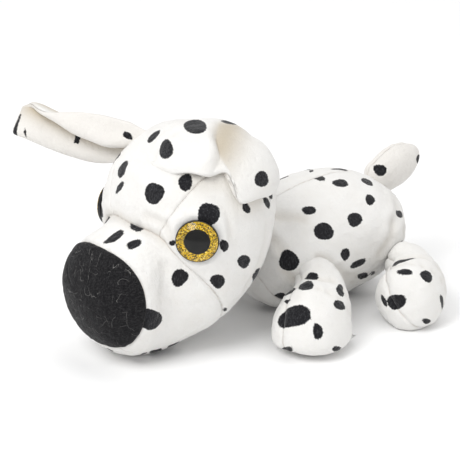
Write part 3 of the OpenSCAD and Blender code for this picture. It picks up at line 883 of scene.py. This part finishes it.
def leg(name, path, side, spots, seed):
    form = limb_form(path, LIMB_FRONT, side)
    limb = Stuffed(form, lambda turn: np.linspace(0, 8, LEG_STEPS + 1), LIMB_ROUND,
                   seam_turns=[(0, LEG_STEPS), (180, LEG_STEPS)], times=3, cap=1.4, seed=seed,
                   folds=LEG_FOLDS, floor=0.3)
    if side < 0:
        spots = scatter(limb, len(spots) + 3, 0, 360, 2.4, 6.8, seed, 13)
    else:
        spots = spots + scatter(limb, 3, 230, 320, 2.6, 6.4, seed, 13)
    for part, turn0, turn1 in (("outer", 0, 180), ("inner", 180, 0)):
        node = f"{name}_leg_{part}"
        piece = panel(node + "_plush", limb, limb.cut(0, LEG_STEPS, turn0, turn1), None,
                      PLUSH, spots, node=node)
        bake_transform(piece)
    filling(f"{name}_leg_stuffing_fill", limb, name + "_leg", FIBRE, seed + 5, 0.36, 0.95)


leg("front_left", FRONT_LEG, 1, FRONT_SPOTS, 31)
leg("front_right", FRONT_LEG, -1, FRONT_SPOTS, 32)
leg("hind_left", HIND_LEG, 1, HIND_SPOTS, 33)
leg("hind_right", HIND_LEG, -1, HIND_SPOTS, 34)

TAIL_STEPS = 14
tail = Stuffed(
    limb_form(TAIL, np.array([0, 0, 1.0])), lambda turn: np.linspace(0, 6, TAIL_STEPS + 1),
    steps(0, (180, 10), (360, 10))[:-1], seam_turns=[(0, TAIL_STEPS), (180, TAIL_STEPS)],
    times=3, cap=0.8, seed=41, lump=0.2,
)
TAIL_SPOTS = [(1.6, 312, 6.5, 5.5, 58), (3.4, 90, 6, 5, 0), (4.6, 240, 5, 4, 0)]
# The tail is made of the darker copy of the plush, as painted shade
for name, turn0, turn1 in (("tail_left_panel", 180, 0), ("tail_right_panel", 0, 180)):
    piece = panel(name + "_plush", tail, tail.cut(0, TAIL_STEPS, turn0, turn1), None,
                  PAINTED_SHADE_PLUSH, TAIL_SPOTS, node=name)
    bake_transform(piece)
filling("tail_stuffing_fill", tail, "tail", FIBRE, 25, 0.3, 0.92)


# ---------------------------------------------------------------- ears
def smooth(x):
    x = np.clip(x, 0, 1)
    return x * x * (3 - 2 * x)


def bell(x, wide):
    return np.exp(-((x / wide) ** 2))


# The draped ear: from front to back, its sewn edge and its free edge on the head, as
# (u, turn, u, turn)
LEFT_EAR = [
    (4.75, -2, 4.78, 6), (4.5, -4, 4.66, 22), (4.1, -4, 4.42, 31), (3.7, -4, 4.12, 40),
    (3.3, -4, 3.62, 44.5), (3.0, -3, 3.62, 52), (2.7, -2, 3.70, 63), (2.3, 0, 3.1, 69),
    (1.9, 3, 2.4, 75), (1.5, 10, 1.75, 73),
]


# Where the crease meets the free edge, and how much further back it is near the sewn edge
LEFT_CREASE, LEFT_CREASE_BACK = 0.33, 0.37
# Height over the head in mm: the cloth before the crease, the hollow, and the lobe over it
FLAT_LIFT, HOLLOW_LIFT, LOBE_RISE = 3.6, 0.5, 3.3


def left_ear(s, t):
    """Middle of the draped ear and the painted shade in its hollow.

    A crease runs from the free edge up to the back. The cloth before it lies flat, and
    behind it the cloth dips into a hollow and rises to a full lobe.
    """
    rows = np.array(LEFT_EAR, float)
    r = curve(rows, 2 * rows[0] - rows[1], 2 * rows[-1] - rows[-2], s * (len(rows) - 1))
    u = r[..., 0] * (1 - t) + r[..., 2] * t
    turn = r[..., 1] * (1 - t) + r[..., 3] * t
    base, step = head_at(u, turn), 0.02
    n = unit(np.cross(head_at(u + step, turn) - head_at(u - step, turn),
                      head_at(u, turn + 1) - head_at(u, turn - 1)))
    past = s - (LEFT_CREASE + LEFT_CREASE_BACK * ((1 - t) / 0.73) ** 1.1)
    lift = FLAT_LIFT + 1.2 * smooth(1 + past / 0.25)
    hollow = HOLLOW_LIFT + LOBE_RISE * smooth((past - 0.12) / 0.36)
    share = smooth((past + 0.03) / 0.12)
    lift = lift * (1 - share) + hollow * share
    lift *= smooth(0.25 + 1.2 * t) * (0.75 + 0.25 * smooth((1 - t) * 6))
    lift = np.maximum(lift, 1.6 + 0.8 * bell(t - 1, 0.1)) - 5.0 * (1 - smooth(s / 0.3))
    # painted shade in the hollow behind the crease, strongest near the top
    shade = bell(past - 0.1, 0.15) * smooth(past * 10 + 0.5) * smooth(t * 4)
    shade *= smooth((1.05 - t) * 1.8)
    return base + n * lift[..., None], 0.95 * shade


# The ear that stands out, in mm: length with the part inside the head, and half its width
RIGHT_EAR_LONG, RIGHT_EAR_HALF = 73.5, 13.5
# Depths in mm of its puffed lobe, its rolled rim and the hollow between them
LOBE_DEEP, RIM_DEEP, HOLLOW_DEEP = 5.5, 4.5, 4.5


def right_ear(s, t):
    """Middle of the ear that stands out: a rim rolled over a hollow, a puffed lobe, and painted
    shade in the hollow.
    """
    root = np.array([-18.5, NECK_Y - 41, 93])
    way = unit(np.array([-50.0, -22, -2]))
    across = unit(np.array([0.1, -0.45, 1]))
    face = np.cross(way, across)
    w = 2 * t - 1
    profile = np.interp(s, [0, 0.15, 0.33, 0.55, 0.78, 1], [0.15, 0.7, 0.92, 1.0, 1.08, 0.9])
    half = RIGHT_EAR_HALF * profile * np.sqrt(np.clip(1 - s**7, 0.01, 1))
    sag = 2.2 * sin_d(180 * s)
    seam = 0.24 + 0.60 * smooth((s - 0.2) / 0.8)
    below = t - seam
    rolled = smooth(s * 3) * smooth((1.06 - s) * 4)
    out = LOBE_DEEP * bell(below + 0.34, 0.26) * smooth(s * 3)
    out += RIM_DEEP * bell(below - 0.32, 0.17) * rolled
    out -= HOLLOW_DEEP * bell(below - 0.06, 0.15) * rolled
    out -= (3 + 4 * smooth(4 * s - 3)) * w * w
    middle = (root + way * (RIGHT_EAR_LONG * s)[..., None]
              + across * (half * w - sag)[..., None] - face * out[..., None])
    # the second value is painted shade in the hollow under the rolled rim
    return middle, 1.3 * bell(below - 0.05, 0.13) * rolled


def ear(name, surface, facing, puff, body_name, spots, n=90, m=60):
    """An ear of two layers of fabric sewn together round their edge.

    facing is 1 where the grid's normal points out of the outer layer, and -1 where not.
    """
    s, t = np.meshgrid(np.linspace(0, 1, n), np.linspace(0, 1, m), indexing="ij")
    middle, painted_shade = surface(s, t)
    normal = normals_of(middle, closed=False) * facing
    border = np.minimum(np.minimum(t, 1 - t) * 40, (1 - s) * 50)
    full = np.sqrt(np.clip(border / 7, 0, 1))
    gap = 0.06 + puff * full + 0.15 * full * waves(middle, 9, 77)
    thick = 0.4 + (FABRIC - 0.4) * np.clip(full * 3, 0, 1)
    # the inner layer is the darker copy of the plush, as painted shade
    for part, sign, material in (("outer", 1, PLUSH), ("inner", -1, PAINTED_SHADE_PLUSH)):
        low = middle + normal * (sign * gap)[..., None]
        high = low + normal * (sign * thick)[..., None]
        high += normal * (0.25 * full * waves(middle, 14, 5))[..., None]
        attributes = {
            "spot": spot_distance(high, spots[part], ear_anchor(middle, normal)),
            "seam": border + 0.6, "shade": painted_shade,
        }
        node = f"ear_{name}_{part}"
        piece = shell(node + "_plush", high, low, attributes, material)
        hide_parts(node)
        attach(piece, body_name)


def ear_anchor(middle, normal):
    def at(s, t):
        i, j = int(s * (middle.shape[0] - 1)), int(t * (middle.shape[1] - 1))
        k = min(max(i, 1), middle.shape[0] - 2)
        return middle[i, j], normal[i, j], middle[k + 1, j] - middle[k - 1, j]
    return at


LEFT_EAR_SPOTS = {
    "outer": [(0.22, 0.4, 12, 7.5, 95), (0.56, 0.23, 10.5, 17, 0), (0.88, 0.13, 10, 5, 20),
              (0.82, 0.86, 8.5, 7, 0)],
    "inner": [(0.4, 0.5, 8, 6, 0)],
}
RIGHT_EAR_SPOTS = {
    "outer": [(0.3, 0.5, 8, 6, 0), (0.6, 0.25, 7, 6, 40), (0.65, 0.8, 7, 5, 0),
              (0.85, 0.5, 6, 5, 0)],
    "inner": [(0.985, 0.5, 9, 2.4, 90), (0.9, 0.55, 4, 1.2, 80), (0.55, 0.62, 8, 2, 160),
              (0.16, 0.72, 5, 3, 20)],
}
ear("left", left_ear, -1, 0.5, "ear_left", LEFT_EAR_SPOTS)
ear("right", right_ear, 1, 0.7, "ear_right", RIGHT_EAR_SPOTS)

# ---------------------------------------------------------------- carried-over CAD pieces
BLACK_PLASTIC = moulded("black_plastic", (0.006, 0.006, 0.007, 1), 0.12)
WASHER = moulded("washer_plastic", (0.75, 0.75, 0.73, 1), 0.45)
PUPIL = moulded("pupil_plastic", (0.002, 0.002, 0.002, 1), 0.3, 0.02)
LENS = clear_lens("eye_lens")


def paint(node, material):
    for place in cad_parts[node].material_slots:
        place.link = "OBJECT"
        place.material = material


for side in ("left", "right"):
    low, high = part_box(f"eye_{side}_iris")
    paint(f"eye_{side}_iris", glitter(f"glitter_{side}", (low + high) / 2))
    paint(f"eye_{side}_dome", LENS)
    paint(f"eye_{side}_pupil", PUPIL)
    paint(f"eye_{side}_back", BLACK_PLASTIC)
    paint(f"eye_{side}_washer", WASHER)
paint("neck_seam", thread("thread"))

# ---------------------------------------------------------------- studio
CAMERA_AIM = Vector((0.0198, -0.0707, 0.0571))
CAMERA_AZIMUTH, CAMERA_ELEVATION = 51.0, 22.0
CAMERA_DISTANCE = 1.3
LENS_MM = 218.8


def away(azimuth, elevation, distance):
    a, e = math.radians(azimuth), math.radians(elevation)
    return Vector((math.sin(a) * math.cos(e), -math.cos(a) * math.cos(e), math.sin(e))) * distance


camera = bpy.data.objects.new("camera", bpy.data.cameras.new("camera"))
bpy.context.scene.collection.objects.link(camera)
camera.data.lens = LENS_MM
camera.data.clip_end = 20
camera.location = CAMERA_AIM + away(CAMERA_AZIMUTH, CAMERA_ELEVATION, CAMERA_DISTANCE)
camera.rotation_euler = (CAMERA_AIM - camera.location).to_track_quat("-Z", "Y").to_euler()
bpy.context.scene.camera = camera

floor_mesh = bpy.data.meshes.new("floor")
floor_mesh.from_pydata([(-6, -6, 0), (6, -6, 0), (6, 6, 0), (-6, 6, 0)], [], [(0, 1, 2, 3)])
floor = bpy.data.objects.new("floor", floor_mesh)
bpy.context.scene.collection.objects.link(floor)
paper = Nodes("paper")
paper.set(Base_Color=paper.mix(paper.noise(3, 2), (0.95, 0.95, 0.95, 1), (0.98, 0.98, 0.98, 1)),
          Roughness=0.9)
floor.data.materials.append(paper.material)


def soft_light(name, azimuth, elevation, distance, size, power):
    light = bpy.data.lights.new(name, "AREA")
    light.shape = "DISK"
    light.size = size
    light.energy = power
    obj = bpy.data.objects.new(name, light)
    obj.location = CAMERA_AIM + away(azimuth, elevation, distance)
    obj.rotation_euler = (CAMERA_AIM - obj.location).to_track_quat("-Z", "Y").to_euler()
    bpy.context.scene.collection.objects.link(obj)


soft_light("key", 10, 50, 1.2, 0.7, 7.5)
soft_light("fill", 120, 30, 1.5, 1.1, 1.5)
soft_light("top", 200, 75, 1.5, 1.2, 4)

bpy.context.scene.view_settings.view_transform = "Standard"
world = bpy.data.worlds.new("studio")
world.use_nodes = True
world.node_tree.nodes["Background"].inputs["Color"].default_value = (1, 1, 1, 1)
world.node_tree.nodes["Background"].inputs["Strength"].default_value = 0.72
bpy.context.scene.world = world
